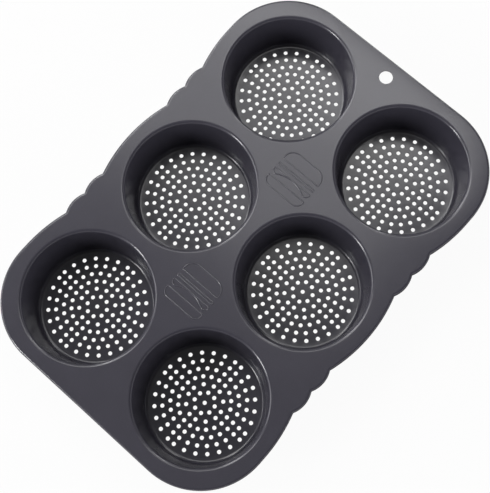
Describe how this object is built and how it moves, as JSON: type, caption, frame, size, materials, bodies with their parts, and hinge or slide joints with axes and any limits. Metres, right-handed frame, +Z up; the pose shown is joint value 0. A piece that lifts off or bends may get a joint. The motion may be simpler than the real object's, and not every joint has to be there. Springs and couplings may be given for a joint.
{
  "type": "hamburger bun pan",
  "caption": "Pressed steel baking tray with round perforated cups, a scalloped turned-down edge and a hanging hole.",
  "frame": {"origin": "middle of the pan in plan, at the level that the undersides of the cups stand on", "axes": "+X along the pan towards the end with the hanging hole, +Y across the pan, +Z up out of the cups"},
  "size_m": [0.35, 0.2366, 0.0412],
  "materials": {
    "coated_steel": "satin dark grey non-stick coating on steel sheet"
  },
  "bodies": {
    "root": {"pan": "coated_steel"}
  },
  "joints": []
}
